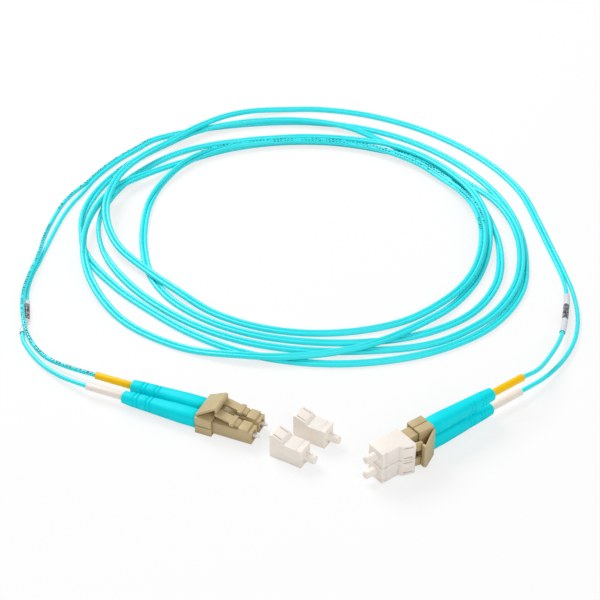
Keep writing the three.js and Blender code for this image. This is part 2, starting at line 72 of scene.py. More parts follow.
ROOT = BODY_OF["cable_coil"]
MM = 0.001

# %% [markdown]
# ## The camera
# A long lens keeps the coil's ellipse calm. The camera stands in front of the connectors and looks
# down at the table at about 36 degrees. A numeric place and angle is used rather than a Track To
# constraint, because nothing in the scene has to follow anything.

# %% Place the camera
CAMERA_TILT = 36.5
camera_data = bpy.data.cameras.new("studio_camera")
camera_data.lens = 88.8
camera_data.sensor_width = 36
camera = bpy.data.objects.new("studio_camera", camera_data)
bpy.context.collection.objects.link(camera)
camera.location = (-0.002, -0.3671, 0.3272)
camera.rotation_euler = (math.radians(90 - CAMERA_TILT), 0, 0)
bpy.context.scene.camera = camera
print("camera", tuple(round(v, 3) for v in camera.location))

# %% [markdown]
# ## Where the connectors lie
# Each connector has its own axes: X points to the nose, Z to the latch, and the two channels lie
# side by side in Y. Connector A lies flat, connector B stands on its edge, and two loose caps lie
# between them. A small table of frames turns those local places into places on the table.

# %% Frames of the connectors and the loose caps
def lying_frame(origin, heading, on_edge=False):
    """Axes of a connector that lies on the table: flat, or rolled onto its edge."""
    turn = Matrix.Rotation(math.radians(heading), 4, "Z")
    roll = Matrix.Rotation(math.radians(-90), 4, "X") if on_edge else Matrix.Identity(4)
    return Matrix.Translation(Vector(origin)) @ turn @ roll


PITCH = 6.25 * MM
CONNECTOR = {
    "a": lying_frame((-0.0158, -0.0009, 0.0033), -23.5),
    "b": lying_frame((0.023, -0.0195, 0.006355), -142.8, on_edge=True),
}
CHANNEL_SIDE = {"a1": 0.5, "a2": -0.5, "b1": -0.5, "b2": 0.5}
CHANNEL = {
    tag: CONNECTOR[tag[0]] @ Matrix.Translation((0, side * PITCH, 0))
    for tag, side in CHANNEL_SIDE.items()
}
CAP_FRAME = {
    "a1": lying_frame((0.0061, -0.0034, 0.0031), -29.5),
    "a2": lying_frame((-0.0016, -0.0128, 0.0031), -31),
    "b1": CHANNEL["b1"],
    "b2": CHANNEL["b2"],
}
print({tag: tuple(round(v, 4) for v in m.translation) for tag, m in CHANNEL.items()})

# %% [markdown]
# ## The cord's route
# A duplex cord is two 1.6 mm strands joined edge to edge. Near each connector they are pulled
# apart, and each one runs to its own channel. The route is written down as a person would lay it:
# points for the parted ends, and for the loose coil the distance from its middle at every eighth
# of a turn. A helix with random noise would be quicker, but a hand-laid coil has its own rhythm.

# %% Points of the parted ends, in metres
STRAND = 1.6 * MM
ROUTE_A = {
    "1": [(-0.0835, 0.0331, 0.0024), (-0.0906, 0.0382, 0.0019), (-0.0958, 0.0439, 0.0025),
          (-0.0992, 0.0498, 0.0034), (-0.1013, 0.056, 0.0038), (-0.103, 0.0635, 0.00375),
          (-0.1042, 0.0715, 0.0035), (-0.1046, 0.08, 0.00295), (-0.1039, 0.0893, 0.0028),
          (-0.1029, 0.097, 0.0028), (-0.1023, 0.104, 0.0027), (-0.1025, 0.1115, 0.0016),
          (-0.1022, 0.1185, 0.0009), (-0.1014, 0.1247, 0.00085), (-0.0998, 0.1335, 0.00085),
          (-0.0977, 0.1415, 0.00085), (-0.0946, 0.1486, 0.00085), (-0.0912, 0.1544, 0.00085)],
    "2": [(-0.0848, 0.0284, 0.0018), (-0.0925, 0.0359, 0.0012), (-0.0981, 0.0439, 0.0011),
          (-0.101, 0.0497, 0.00125), (-0.1018, 0.055, 0.0013), (-0.1015, 0.061, 0.0013),
          (-0.1026, 0.0698, 0.0013), (-0.1039, 0.08, 0.00095), (-0.1035, 0.09, 0.00085),
          (-0.102, 0.099, 0.00085), (-0.1009, 0.107, 0.00085), (-0.0998, 0.1148, 0.00085),
          (-0.0984, 0.1234, 0.00085), (-0.0966, 0.1324, 0.00085), (-0.0938, 0.1415, 0.00085),
          (-0.0914, 0.1473, 0.00085)],
}
ROUTE_B = {
    "1": [(0.0974, 0.0792, 0.0011), (0.0946, 0.0625, 0.002), (0.0906, 0.0478, 0.0032),
          (0.0842, 0.0338, 0.0054), (0.079, 0.0246, 0.0076)],
    "2": [(0.0998, 0.0795, 0.00085), (0.0994, 0.0636, 0.00085), (0.0964, 0.0502, 0.001),
          (0.0908, 0.0384, 0.0014), (0.0832, 0.028, 0.0022)],
}
print({side: len(points) for side, points in ROUTE_A.items()})

# %% The coil's distances from its middle, an eighth of a turn apart, in millimetres
COIL_MIDDLE = (0.0, 0.125)
TURNS = [
    (93, 81, 79, 84, 95, 88, 81, 89),
    (86, 80, 70, 82, 92, 81, 77, 82),
    (77, 67, 69, 72, 77, 86, 92, 85),
    (69, 64, 67, 74, 85, 76, 71, 64),
    (67, 62.5, 64, 69, 74, 71, 67, 79),
]
LAST_ARC = (83, 93, 90, 93)
POINTS_A_TURN = 24
# Turns done, and the height rank of the cord from there on: a higher rank lies on a lower one.
LAID_ORDER = ((0, 1), (1, 2), (2, 4), (3, 3), (3.8, 5), (4, 6), (5, 7))
# Turns done where the flat cord rolls right over, so that its strands change sides.
TURNS_OVER = 0.86
# Turns done where the flat cord stands on edge, one strand on the other.
STANDS_ON_EDGE = (1.875, 2.875, 3.375, 3.97)
# The joined cord before the coil, as x, y and turns done, and the x and y of its run after it.
LEFT_RUN = [(-0.0901, 0.1545, -0.1), (-0.0866, 0.1621, -0.08), (-0.0829, 0.1688, -0.06),
            (-0.0785, 0.1755, -0.04), (-0.0715, 0.184, -0.02)]
RIGHT_RUN = [(0.0952, 0.1095), (0.0975, 0.0935), (0.0989, 0.081)]


def distance_along(points):
    """The distance from the first point to each point, along the line through them."""
    return np.concatenate([[0], np.cumsum(np.linalg.norm(np.diff(points, axis=0), axis=1))])


def smooth_through(points, step):
    """A Catmull-Rom curve through the points, cut into even steps."""
    points = np.array(points, float)
    ends = np.vstack([2 * points[0] - points[1], points, 2 * points[-1] - points[-2]])
    fine = []
    for a, b, c, d in zip(ends, ends[1:], ends[2:], ends[3:]):
        ta = np.linalg.norm(b - a) ** 0.5
        tb = ta + np.linalg.norm(c - b) ** 0.5
        tc = tb + np.linalg.norm(d - c) ** 0.5
        for t in np.linspace(ta, tb, max(2, int((tb - ta) ** 2 / step * 2)), endpoint=False):
            spans = ((0, ta, a, b), (ta, tb, b, c), (tb, tc, c, d))
            ab, bc, cd = (((e - t) * p + (t - s) * q) / (e - s) for s, e, p, q in spans)
            abc = ((tb - t) * ab + t * bc) / tb
            bcd = ((tc - t) * bc + (t - ta) * cd) / (tc - ta)
            fine.append(((tb - t) * abc + (t - ta) * bcd) / (tb - ta))
    fine = np.array(fine + [points[-1]])
    run = distance_along(fine)
    even = np.linspace(0, run[-1], max(2, round(run[-1] / step)) + 1)
    return np.stack([np.interp(even, run, fine[:, i]) for i in range(fine.shape[1])], axis=1)


def coil_points():
    """Points on the coil, clockwise from its upper left, each with the turns done."""
    radii = [r for turn in TURNS for r in turn] + list(LAST_ARC)
    done = smooth_through([(i / 8, r) for i, r in enumerate(radii)], 0.02)
    at = np.arange(0, (len(radii) - 1) / 8 + 1e-9, 1 / POINTS_A_TURN)
    radius = np.interp(at, done[:, 0], done[:, 1]) * MM
    angle = np.radians(135) - at * 2 * math.pi
    return [
        (COIL_MIDDLE[0] + r * math.cos(a), COIL_MIDDLE[1] + r * math.sin(a), t)
        for r, a, t in zip(radius, angle, at)
    ]


wound = coil_points()
turns_wound = len(TURNS) + (len(LAST_ARC) - 1) / 8
unwound = [(x, y, turns_wound + i / 50) for i, (x, y) in enumerate(RIGHT_RUN, 1)]
centre_points = LEFT_RUN + wound + unwound
LEVEL_STEP = 1.0 * MM        # distance between the points of the plan
plan = smooth_through([p[:2] for p in centre_points], LEVEL_STEP)
print("coil points", len(wound), "length of joined cord", round(len(plan) * LEVEL_STEP, 2), "m")

# %% [markdown]
# ## Laying the coil down
# A cord can't pass through itself: where it crosses an earlier turn it rides over it in a long low
# hump, and it comes back down to the table. A cloth or rope simulation could settle it, but here
# the order of the turns is known, so the heights can be worked out directly. Each point is lifted
# until it clears what lies under it. The lift is then spread along the cord and smoothed, because
# a stiff glass fibre cable can't bend sharply.

# %% Turns done, side direction and roll at each point
# The roll counts in quarter turns, 0 flat, 1 on edge and 2 right over, until it becomes an angle.
JOINS_AT = 4                 # plan point at which the parted strands come together
HALF_SPREAD = 0.81 * MM      # from the cord's middle to the middle of each strand
ON_EDGE_SPAN = 0.045         # turns that the cord takes to tip up onto its edge
ROLL_OVER_SPAN = 0.13        # turns that it takes to roll right over
ROLL_SMOOTHING = 12          # plan points on each side that the roll is averaged over
centre_run = distance_along(np.array([p[:2] for p in centre_points]))
share = np.linspace(0, 1, len(plan))
turn_at = np.interp(share, centre_run / centre_run[-1], [p[2] for p in centre_points])
heading = np.gradient(plan, axis=0)
heading /= np.linalg.norm(heading, axis=1)[:, None]
outward = np.stack([-heading[:, 1], heading[:, 0]], axis=1)
roll = np.zeros(len(plan))
for place in STANDS_ON_EDGE:
    roll = np.maximum(roll, np.clip(1.5 - np.abs(turn_at - place) / ON_EDGE_SPAN, 0, 1))
roll = np.maximum(roll, 2 * np.clip(0.5 - (turn_at - TURNS_OVER) / ROLL_OVER_SPAN, 0, 1))
average = np.ones(2 * ROLL_SMOOTHING + 1) / (2 * ROLL_SMOOTHING + 1)
roll = np.convolve(np.pad(roll, ROLL_SMOOTHING, mode="edge"), average, "valid") * math.pi / 2
print("turned on edge over", round(float((roll > 0.7).sum()) * LEVEL_STEP, 3), "m")

# %% Lift each point clear of the turns under it
rank = np.array([[r for start, r in LAID_ORDER if t >= start or start == 0][-1] for t in turn_at])
side_offset = {-1: -HALF_SPREAD, 1: HALF_SPREAD}
flat_place = {s: plan + outward * (np.cos(roll) * side_offset[s])[:, None] for s in (-1, 1)}
rise = {s: np.sin(roll) * side_offset[s] for s in (-1, 1)}
OFF_TABLE = 0.03 * MM        # air under the lowest strand
SAME_STRETCH = 40            # plan points nearer than this along the cord never cross
SETTLING_ROUNDS = 14
floor_level = STRAND / 2 + OFF_TABLE + np.sin(roll) * HALF_SPREAD


def crossings():
    """Pairs of strand points that lie within one diameter in plan: (upper, lower, lift)."""
    tree = kdtree.KDTree(2 * len(plan))
    for s in (-1, 1):
        for i, p in enumerate(flat_place[s]):
            tree.insert((*p, 0), i if s < 0 else i + len(plan))
    tree.balance()
    reach, found = STRAND * 1.02, []
    for s in (-1, 1):
        for i, p in enumerate(flat_place[s]):
            for _, j, d in tree.find_range((*p, 0), reach):
                t, k = (-1, j) if j < len(plan) else (1, j - len(plan))
                if abs(i - k) > SAME_STRETCH and (rank[i], i) > (rank[k], k):
                    lift = math.sqrt(max(0, reach**2 - d**2)) + rise[t][k] - rise[s][i]
                    found.append((i, k, lift))
    return found


def long_low_humps(level, reach=9, slope=0.1):
    """Spreads each lift along the cord, limits its slope and smooths it, never below the lift."""
    spread = np.max([np.roll(level, k) for k in range(-reach, reach + 1)], axis=0)
    for order in (range(1, len(spread)), range(len(spread) - 2, -1, -1)):
        for i in order:
            before = i - 1 if order.step > 0 else i + 1
            spread[i] = max(spread[i], spread[before] - slope * LEVEL_STEP)
    window = np.hanning(2 * reach + 3)[1:-1]
    return np.convolve(np.pad(spread, reach, mode="edge"), window / window.sum(), "valid")


pairs = crossings()
upper, lower, lift = (np.array(c) for c in zip(*pairs))
height = floor_level.copy()
for round_number in range(SETTLING_ROUNDS):
    level = floor_level.copy()
    np.maximum.at(level, upper, height[lower] + lift)
    settled = long_low_humps(level)
    change = float(np.abs(settled - height).max())
    height = settled
    if change < 0.01 * MM:
        break
highest = round(float(height.max()) * 1000, 2)
print("crossing pairs", len(pairs), "rounds", round_number + 1, "highest", highest, "mm")

# %% [markdown]
# ## The strands as tubes
# Each strand is one tube from the crimp of connector A to the crimp of connector B, so that its
# length is the cord's real length. A curve with a bevel depth would do, but a mesh made ring by
# ring can carry its own UV map: around the strand, and metres along it. The printed marks on
# the jacket need that, since they run along the cord wherever it goes.

# %% Tube maker
STRAND_SIDES = 12


def tube(name, path, radius, sides=STRAND_SIDES, flatten=1.0, side_axis=None, ends=True):
    """A tube along a path, with UVs: around, and metres along. Its ends are closed, or left open."""
    path = np.array(path, float)
    along = np.gradient(path, axis=0)
    along /= np.linalg.norm(along, axis=1)[:, None]
    sideways = np.cross(along, np.array([0, 0, 1.0]))
    across = sideways if side_axis is None else np.array(side_axis, float)
    across -= (across * along).sum(1)[:, None] * along
    across /= np.linalg.norm(across, axis=1)[:, None]
    up = np.cross(across, along)
    radius = np.broadcast_to(radius, len(path))
    run = distance_along(path)
    mesh = bmesh.new()
    uv = mesh.loops.layers.uv.new("along_cord")
    rings = []
    for centre, x, y, r in zip(path, across, up, radius):
        ring = []
        for k in range(sides):
            a = 2 * math.pi * k / sides
            ring.append(mesh.verts.new(centre + r * (math.cos(a) * x + math.sin(a) * flatten * y)))
        rings.append(ring)
    for i, (near, far) in enumerate(zip(rings, rings[1:])):
        for k in range(sides):
            face = mesh.faces.new((near[k], far[k], far[(k + 1) % sides], near[(k + 1) % sides]))
            corners = ((k, i), (k, i + 1), (k + 1, i + 1), (k + 1, i))
            for loop, (around, ring_number) in zip(face.loops, corners):
                loop[uv].uv = (around / sides, run[ring_number])
            face.smooth = True
    for ring, flip in ((rings[0], False), (rings[-1], True)) if ends else ():
        mesh.faces.new(ring[::-1] if flip else ring)
    bmesh.ops.recalc_face_normals(mesh, faces=mesh.faces)
    data = bpy.data.meshes.new(name)
    mesh.to_mesh(data)
    mesh.free()
    made = bpy.data.objects.new(name, data)
    bpy.context.collection.objects.link(made)
    print(name, "length", round(float(run[-1]), 3), "m, faces", len(data.polygons))
    return made, float(run[-1])


# %% Follow each strand from crimp to crimp
# The straight run in a connector, from the rear of the crimp past the boot's tail to the rear of
# the marker sleeve, in millimetres back from the connector's origin.
STRAIGHT_RUN = (-28, -38, -48.5, -56, -62.8)
COIL_STRIDE = 4              # plan points between the points that a strand is led through
PARTS_AT = -6                # plan point, from the end, at which the strands part again
RING_STEP = 1.9 * MM


def on_channel(tag, x):
    return tuple(CHANNEL[tag] @ Vector((x, 0, 0)))


def strand_path(number):
    """Connector A, parted run, coil, parted run, connector B."""
    s = -1 if number == "1" else 1
    coil = np.column_stack([flat_place[s], height + rise[s]])[JOINS_AT:PARTS_AT:COIL_STRIDE]
    start = [on_channel("a" + number, x * MM) for x in STRAIGHT_RUN]
    end = [on_channel("b" + number, x * MM) for x in reversed(STRAIGHT_RUN)]
    return smooth_through([*start, *ROUTE_A[number], *coil, *ROUTE_B[number], *end], RING_STEP)


strand_line = {n: strand_path(n) for n in "12"}
strand = {n: tube(f"strand_{n}", strand_line[n], STRAND / 2) for n in "12"}


# %% Where the printed line faces up
# The print is on one side of the cord. It only shows where that side happens to lie on top: along
# the parted run to connector A, at the back left, and on the two inner turns at the back right.
PRINT_SHOWS = {
    "1": ((-0.2, 0.0), (0.93, 1.05), (3.17, 3.33), (4.07, 4.38)),     # turns done, from and to
    "2": ((0.93, 0.99), (3.1, 3.33), (4.04, 4.42)),
}
SLEEVED = 34 * MM            # length of strand inside the boot and the marker sleeve


def mark_printed(piece, number):
    """Stores 1 on the rings of the tube where the printed line shows, and 0 elsewhere."""
    line = strand_line[number]
    run = distance_along(line)
    first_quarter = line[: len(line) // 4, :2]
    joins = int(np.argmin(np.linalg.norm(first_quarter - plan[JOINS_AT], axis=1)))
    plan_run = run[joins] + np.arange(len(plan) - JOINS_AT) * LEVEL_STEP
    turns = np.interp(run, plan_run, turn_at[JOINS_AT:], left=-0.1)
    shows = np.zeros(len(line))
    for start, end in PRINT_SHOWS[number]:
        shows[(turns >= start) & (turns <= end)] = 1.0
    shows[run < SLEEVED] = 0.0
    attribute = piece.data.attributes.new("printed", "FLOAT", "POINT")
    attribute.data.foreach_set("value", np.repeat(shows, STRAND_SIDES).astype(np.float32))
    print(piece.name, "print shows on", round(float(shows.mean() * run[-1]), 2), "m")


for number, (piece, _) in strand.items():
    mark_printed(piece, number)

# %% The web between the joined strands
# The web is given a much darker aqua further down: painted shade for the groove between the two strands.
WEB_REACH = slice(JOINS_AT + 4, -12, 2)     # it starts after the strands join and ends before they part
WEB_HALF_WIDTH, WEB_FLATNESS = 0.42 * MM, 0.45
web_line = np.column_stack([plan, height])[WEB_REACH]
web_side = np.column_stack([outward * np.cos(roll)[:, None], np.sin(roll)])[WEB_REACH]
steps_in = np.arange(len(web_line))
web_taper = np.clip(np.minimum(steps_in, steps_in[::-1]) / 6, 0.3, 1)
web, _ = tube("strand_web", web_line, WEB_HALF_WIDTH * web_taper, sides=6, flatten=WEB_FLATNESS,
              side_axis=web_side)

# %% Attach the strands and the web to the coil's body, and hide the measured cord pieces
for number, (piece, length) in strand.items():
    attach(piece, ROOT)
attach(web, ROOT)
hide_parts("cable_coil", "strand_a1", "strand_b1", "zip_run_b")
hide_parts("strand_a2", "strand_b2")
print("strand lengths", {n: round(s[1], 3) for n, s in strand.items()})

# %% [markdown]
# ## Finishes: colours and shared effects
# Most of this object is moulded or extruded plastic, so its finishes share two effects: a slight
# drift of the colour over the surface, and a fine grain from the mould. Each effect is a node
# group that is built once, with its own inputs, and placed in each material with other values.
# Colours are written as screen values and turned into the linear values that shaders use.

# %% Colour helper
def from_screen(code):
    """A '#rrggbb' screen colour as linear red, green, blue, alpha."""
    parts = [int(code[i:i + 2], 16) / 255 for i in (1, 3, 5)]
    return (*[c / 12.92 if c <= 0.04045 else ((c + 0.055) / 1.055) ** 2.4 for c in parts], 1.0)


print("screen mid grey is", round(from_screen("#808080")[0], 3), "in linear light")


# %% Shared effect: slow drift between two colours
def new_group(name, inputs, outputs):
    group = bpy.data.node_groups.new(name, "ShaderNodeTree")
    for label, kind, value in inputs:
        socket = group.interface.new_socket(label, in_out="INPUT", socket_type=kind)
        socket.default_value = value
    for label, kind in outputs:
        group.interface.new_socket(label, in_out="OUTPUT", socket_type=kind)
    start, end = group.nodes.new("NodeGroupInput"), group.nodes.new("NodeGroupOutput")
    start.location, end.location = (-900, 0), (500, 0)
    return group, start, end


def colour_drift_group():
    group, start, end = new_group(
        "colour_drift",
        [("Colour", "NodeSocketColor", (0.5, 0.5, 0.5, 1)), ("Shade", "NodeSocketColor", (0.3, 0.3, 0.3, 1)),
         ("Scale", "NodeSocketFloat", 300.0), ("Amount", "NodeSocketFloat", 0.3)],
        [("Colour", "NodeSocketColor")])
    link = group.links.new
    place = group.nodes.new("ShaderNodeTexCoord")
    noise = group.nodes.new("ShaderNodeTexNoise")
    noise.inputs["Detail"].default_value = 3
    spread = group.nodes.new("ShaderNodeMapRange")
    spread.inputs["From Min"].default_value, spread.inputs["From Max"].default_value = 0.35, 0.7
    amount = group.nodes.new("ShaderNodeMath")
    amount.operation = "MULTIPLY"
    mix = group.nodes.new("ShaderNodeMix")
    mix.data_type = "RGBA"
    link(place.outputs["Object"], noise.inputs["Vector"])
    link(start.outputs["Scale"], noise.inputs["Scale"])
    link(noise.outputs["Fac"], spread.inputs["Value"])
    link(spread.outputs["Result"], amount.inputs[0])
    link(start.outputs["Amount"], amount.inputs[1])
    link(amount.outputs[0], mix.inputs["Factor"])
    link(start.outputs["Colour"], mix.inputs["A"])
    link(start.outputs["Shade"], mix.inputs["B"])
    link(mix.outputs["Result"], end.inputs["Colour"])
    return group


COLOUR_DRIFT = colour_drift_group()
print("group", COLOUR_DRIFT.name)


# %% Shared effect: mould grain
def mould_grain_group():
    group, start, end = new_group(
        "mould_grain",
        [("Scale", "NodeSocketFloat", 4000.0), ("Roughness", "NodeSocketFloat", 0.4),
         ("Variation", "NodeSocketFloat", 0.1)],
        [("Height", "NodeSocketFloat"), ("Roughness", "NodeSocketFloat")])
    link = group.links.new
    place = group.nodes.new("ShaderNodeTexCoord")
    grain = group.nodes.new("ShaderNodeTexNoise")
    grain.inputs["Detail"].default_value = 2
    wide = group.nodes.new("ShaderNodeTexNoise")
    wide.inputs["Scale"].default_value = 500
    centred = group.nodes.new("ShaderNodeMath")
    centred.operation, centred.inputs[1].default_value = "SUBTRACT", 0.5
    add = group.nodes.new("ShaderNodeMath")
    add.operation = "MULTIPLY_ADD"
    link(place.outputs["Object"], grain.inputs["Vector"])
    link(place.outputs["Object"], wide.inputs["Vector"])
    link(start.outputs["Scale"], grain.inputs["Scale"])
    link(wide.outputs["Fac"], centred.inputs[0])
    link(centred.outputs[0], add.inputs[0])
    link(start.outputs["Variation"], add.inputs[1])
    link(start.outputs["Roughness"], add.inputs[2])
    link(grain.outputs["Fac"], end.inputs["Height"])
    link(add.outputs[0], end.inputs["Roughness"])
    return group


MOULD_GRAIN = mould_grain_group()
print("group", MOULD_GRAIN.name)


# %% [markdown]
# ## One maker for the plain plastics
# A moulded plastic is a Principled shader with a drifting colour, a roughness that varies a
# little, and a very shallow bump from the mould. The same few nodes serve the beige connectors,
# the white caps, the boots and the sleeves, with different values, so a short function makes them.

# %% Plastic maker
def plastic(name, colour, shade, roughness, grain=4000, bump=0.05, drift=0.35, drift_scale=260, glow=0.0,
            specular=0.5):
    material = bpy.data.materials.new(name)
    material.use_nodes = True
    nodes, link = material.node_tree.nodes, material.node_tree.links.new
    shader = nodes["Principled BSDF"]
    shader.inputs["Specular IOR Level"].default_value = specular
    tone = nodes.new("ShaderNodeGroup")
    tone.node_tree = COLOUR_DRIFT
    tone.inputs["Colour"].default_value = from_screen(colour)
    tone.inputs["Shade"].default_value = from_screen(shade)
    tone.inputs["Scale"].default_value = drift_scale
    tone.inputs["Amount"].default_value = drift
    skin = nodes.new("ShaderNodeGroup")
    skin.node_tree = MOULD_GRAIN
    skin.inputs["Scale"].default_value = grain
    skin.inputs["Roughness"].default_value = roughness
    relief = nodes.new("ShaderNodeBump")
    relief.inputs["Strength"].default_value = bump
    relief.inputs["Distance"].default_value = 0.02 * MM
    link(tone.outputs["Colour"], shader.inputs["Base Color"])
    link(skin.outputs["Roughness"], shader.inputs["Roughness"])
    link(skin.outputs["Height"], relief.inputs["Height"])
    link(relief.outputs["Normal"], shader.inputs["Normal"])
    if glow:
        shader.inputs["Subsurface Weight"].default_value = glow
        shader.inputs["Subsurface Radius"].default_value = (1.2, 1.0, 0.8)
        shader.inputs["Subsurface Scale"].default_value = 0.6 * MM
    material.diffuse_color = from_screen(colour)
    return material


# %% The plain plastics
BEIGE = plastic("beige_connector_plastic", "#C9B58A", "#B5A076", 0.4, grain=5000, bump=0.25, specular=0.35)
CAP_WHITE = plastic("cap_white_plastic", "#F8EFE6", "#EFE3D6", 0.38, grain=4500, bump=0.15, glow=0.25)
BOOT_AQUA = plastic("boot_aqua_rubber", "#00E4EE", "#00D2DF", 0.5, grain=3500, bump=0.3, specular=0.12)
YELLOW = plastic("yellow_marker_sleeve", "#FFCC00", "#F7B900", 0.42, grain=3000, bump=0.2, specular=0.2)
SLEEVE_WHITE = plastic("white_marker_sleeve", "#F3E9E1", "#E8DACF", 0.45, grain=3000, bump=0.2)
ZIRCONIA = plastic("ferrule_ceramic", "#F7F5F1", "#EFEBE4", 0.28, grain=6000, bump=0.02, drift=0.15)
print("plastics", [m.name for m in (BEIGE, CAP_WHITE, BOOT_AQUA, YELLOW, SLEEVE_WHITE, ZIRCONIA)])

# %% [markdown]
# ## The jacket and its printed marks
# The extruded jacket is smoother than the mouldings. Real cords carry a printed line along one
# side. Here it is only small plain marks with no lettering. They follow the cord by the UV map of
# the tube: U picks the side that the print is on, and V, in metres, spaces the marks. The value
# stored on the tube's rings keeps the marks to the stretches where the printed side lies on top.

# %% Jacket finish
PRINT_SIDE, PRINT_HALF_WIDTH = 0.27, 0.1    # in shares of the way around the strand
MARK_PITCH, MARK_SHARE = 1.5 * MM, 0.72     # from mark to mark, and how much of that is inked
MARKS_A_GROUP = 7
STROKES_A_MARK, STROKES_AROUND = 3, 15


def jacket(name, colour, shade):
    return plastic(name, colour, shade, 0.3, grain=2600, bump=0.06, drift=0.3, drift_scale=60)


def printed_jacket(name, colour, shade, ink_colour):
    material = jacket(name, colour, shade)
    nodes, link = material.node_tree.nodes, material.node_tree.links.new
    shader = nodes["Principled BSDF"]

    def math_node(operation, a, b=None, c=None):
        node = nodes.new("ShaderNodeMath")
        node.operation = operation
        for socket, value in zip(node.inputs, (a, b, c)):
            if value is None:
                continue
            if isinstance(value, (int, float)):
                socket.default_value = value
            else:
                link(value, socket)
        return node.outputs[0]

    uv = nodes.new("ShaderNodeUVMap")
    uv.uv_map = "along_cord"
    axes = nodes.new("ShaderNodeSeparateXYZ")
    link(uv.outputs["UV"], axes.inputs["Vector"])
    around, along = axes.outputs["X"], axes.outputs["Y"]
    band = math_node("COMPARE", around, PRINT_SIDE, PRINT_HALF_WIDTH)
    mark = math_node("MULTIPLY", along, 1 / MARK_PITCH)
    inside_mark = math_node("LESS_THAN", math_node("FRACT", mark), MARK_SHARE)
    group = math_node("FLOOR", math_node("MULTIPLY", mark, 1 / MARKS_A_GROUP))
    marks = nodes.new("ShaderNodeTexWhiteNoise")
    marks.noise_dimensions = "1D"
    link(math_node("FLOOR", mark), marks.inputs["W"])
    groups = nodes.new("ShaderNodeTexWhiteNoise")
    groups.noise_dimensions = "1D"
    link(math_node("ADD", group, 0.37), groups.inputs["W"])
    strokes = nodes.new("ShaderNodeTexWhiteNoise")
    strokes.noise_dimensions = "2D"
    cell = nodes.new("ShaderNodeCombineXYZ")
    link(math_node("FLOOR", math_node("MULTIPLY", mark, STROKES_A_MARK)), cell.inputs["X"])
    link(math_node("FLOOR", math_node("MULTIPLY", around, STROKES_AROUND)), cell.inputs["Y"])
    link(cell.outputs["Vector"], strokes.inputs["Vector"])
    mark_kept = math_node("LESS_THAN", marks.outputs["Value"], 0.86)
    group_kept = math_node("LESS_THAN", groups.outputs["Value"], 0.8)
    stroke_kept = math_node("LESS_THAN", strokes.outputs["Value"], 0.62)
    drawn = math_node("MULTIPLY", math_node("MULTIPLY", mark_kept, group_kept), stroke_kept)
    shows = nodes.new("ShaderNodeAttribute")
    shows.attribute_name = "printed"
    drawn = math_node("MULTIPLY", drawn, shows.outputs["Fac"])
    ink = math_node("MULTIPLY", math_node("MULTIPLY", band, inside_mark), math_node("MULTIPLY", drawn, 0.92))
    printed_colour = nodes.new("ShaderNodeMix")
    printed_colour.data_type = "RGBA"
    link(ink, printed_colour.inputs["Factor"])
    link(shader.inputs["Base Color"].links[0].from_socket, printed_colour.inputs["A"])
    printed_colour.inputs["B"].default_value = from_screen(ink_colour)
    link(printed_colour.outputs["Result"], shader.inputs["Base Color"])
    return material


JACKET = printed_jacket("aqua_jacket_printed", "#2AEDF3", "#1FDCE5", "#0E2F38")
# Painted shade: the web is the same jacket plastic, but a much darker aqua stands in for the shade in the
# groove between the strands.
JACKET_GROOVE_SHADE = jacket("aqua_jacket_painted_groove_shade", "#08A5AF", "#05949E")
for piece, material in ((strand["1"][0], JACKET), (strand["2"][0], JACKET), (web, JACKET_GROOVE_SHADE)):
    piece.data.materials.clear()
    piece.data.materials.append(material)
print("jacket on", strand["1"][0].name, strand["2"][0].name)

# %% [markdown]
# ## Softening the measured mouldings
# The measured connector pieces have the right shape but perfectly sharp edges, which no moulding
# has. Their meshes can't be touched, so each one is copied, its doubled corners are merged, its
# flat faces are joined, and a small bevel is applied to the copy, which then stands for the node.

# %% Softened copy of a node
def nothing_selected():
    for other in bpy.context.view_layer.objects:
        other.select_set(False)


def only(piece):
    """Deselects everything, then selects this piece and makes it active."""
    nothing_selected()
    piece.select_set(True)
    bpy.context.view_layer.objects.active = piece


def apply_modifier(piece, kind, **values):
    only(piece)
    modifier = piece.modifiers.new(kind.lower(), kind)
    for key, value in values.items():
        setattr(modifier, key, value)
    bpy.ops.object.modifier_apply(modifier=modifier.name)


def finish_piece(piece, node, material, angle=35):
    """Smooth shading, finish, body and node of a piece that stands for one CAD node."""
    only(piece)
    bpy.ops.object.shade_smooth_by_angle(angle=math.radians(angle))
    piece.data.materials.clear()
    piece.data.materials.append(material)
    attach(piece, BODY_OF[node])
    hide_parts(node)
    return piece


SAME_CORNER, FLAT_WITHIN = 0.002 * MM, math.radians(1.5)


def softened(node, name, edge, material, sharper_than=32, segments=2, reshape=None):
    """A copy of a node with small bevels. A reshape function may move its corners first."""
    source = frame["nodes"][node]
    piece = bpy.data.objects.new(name, source.data.copy())
    bpy.context.collection.objects.link(piece)
    only(piece)
    bpy.ops.object.mode_set(mode="EDIT")
    bpy.ops.mesh.select_all(action="SELECT")
    bpy.ops.mesh.remove_doubles(threshold=SAME_CORNER)
    bpy.ops.mesh.dissolve_limited(angle_limit=FLAT_WITHIN)
    bpy.ops.object.mode_set(mode="OBJECT")
    for vertex in piece.data.vertices if reshape else ():
        vertex.co = reshape(vertex.co)
    apply_modifier(piece, "BEVEL", width=edge, segments=segments, limit_method="ANGLE",
                   angle_limit=math.radians(sharper_than), use_clamp_overlap=True)
    return finish_piece(piece, node, material)


# %% Soften the beige pieces
for tag in ("a1", "a2", "b1", "b2"):
    softened(f"housing_{tag}", f"connector_body_{tag}", 0.1 * MM, BEIGE)
    softened(f"latch_arm_{tag}", f"latch_{tag}", 0.12 * MM, BEIGE)
for side in "ab":
    softened(f"clip_upper_{side}", f"clip_roof_{side}", 0.12 * MM, BEIGE)
    softened(f"clip_lower_{side}", f"clip_floor_{side}", 0.12 * MM, BEIGE)
    softened(f"trigger_{side}", f"release_trigger_{side}", 0.16 * MM, BEIGE)

# %% [markdown]
# The caps need one more change. The step across the front of a cap's roof is shallow and catches
# the light, so the corners of its floor are raised until only a fine line is left.

